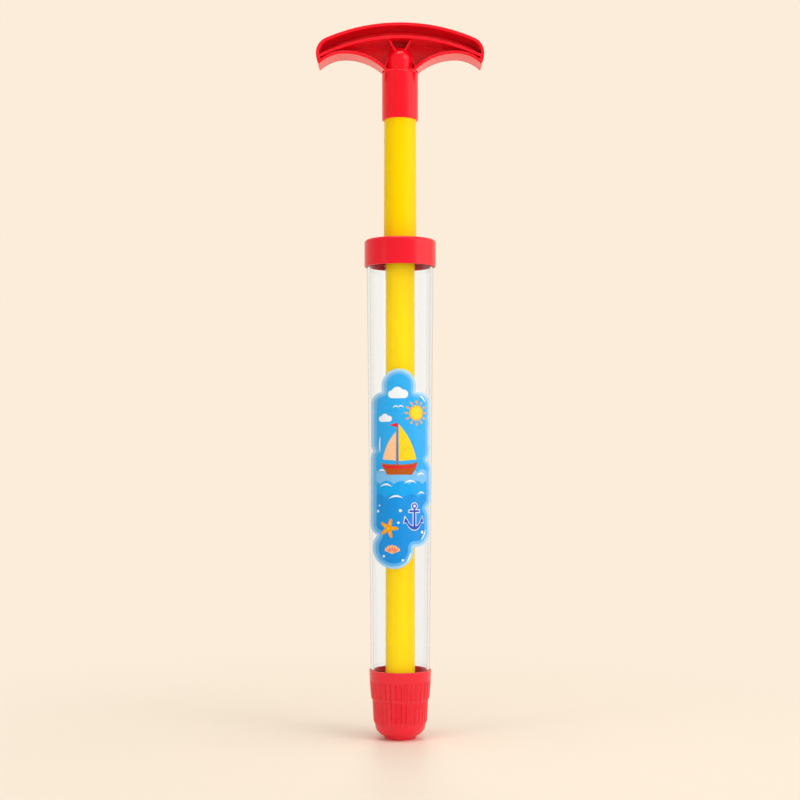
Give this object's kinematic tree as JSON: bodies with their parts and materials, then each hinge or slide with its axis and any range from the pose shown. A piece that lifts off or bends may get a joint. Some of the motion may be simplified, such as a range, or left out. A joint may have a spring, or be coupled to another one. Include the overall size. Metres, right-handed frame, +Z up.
{
  "type": "water squirter",
  "caption": "Pump-action water squirter: clear tapered barrel, fluted nozzle cap, guide cap and a rod plunger with a T handle that slides and turns.",
  "frame": {"origin": "centre of the foot ring under the nozzle cap, on the floor", "axes": "+Z up along the barrel and the stroke, +X along the handle, -Y towards the middle of the label"},
  "size_m": [0.1012, 0.043, 0.4289],
  "materials": {
    "red_plastic": "gloss moulded red polypropylene",
    "yellow_plastic": "gloss extruded yellow plastic",
    "clear_plastic": "clear gloss",
    "label_film": "printed self-adhesive film",
    "black_rubber": "moulded black rubber"
  },
  "bodies": {
    "barrel_group": {"barrel": "clear_plastic", "label": "label_film", "guide_cap": "red_plastic", "nozzle_cap": "red_plastic", "barrel_gasket": "black_rubber"},
    "seal": {"piston_seal": "black_rubber"},
    "plunger": {"plunger_rod": "yellow_plastic", "stop_sleeve": "yellow_plastic", "handle": "red_plastic", "piston_head": "red_plastic"}
  },
  "joints": [
    {"name": "plunger_slide", "type": "slide", "parent": "barrel_group", "child": "seal", "axis": [0, 0, 1], "range_m": [0, 0.252]},
    {"name": "plunger_turn", "type": "hinge", "parent": "seal", "child": "plunger", "pos_m": [0, 0, 0.03], "axis": [0, 0, 1], "continuous": true}
  ]
}
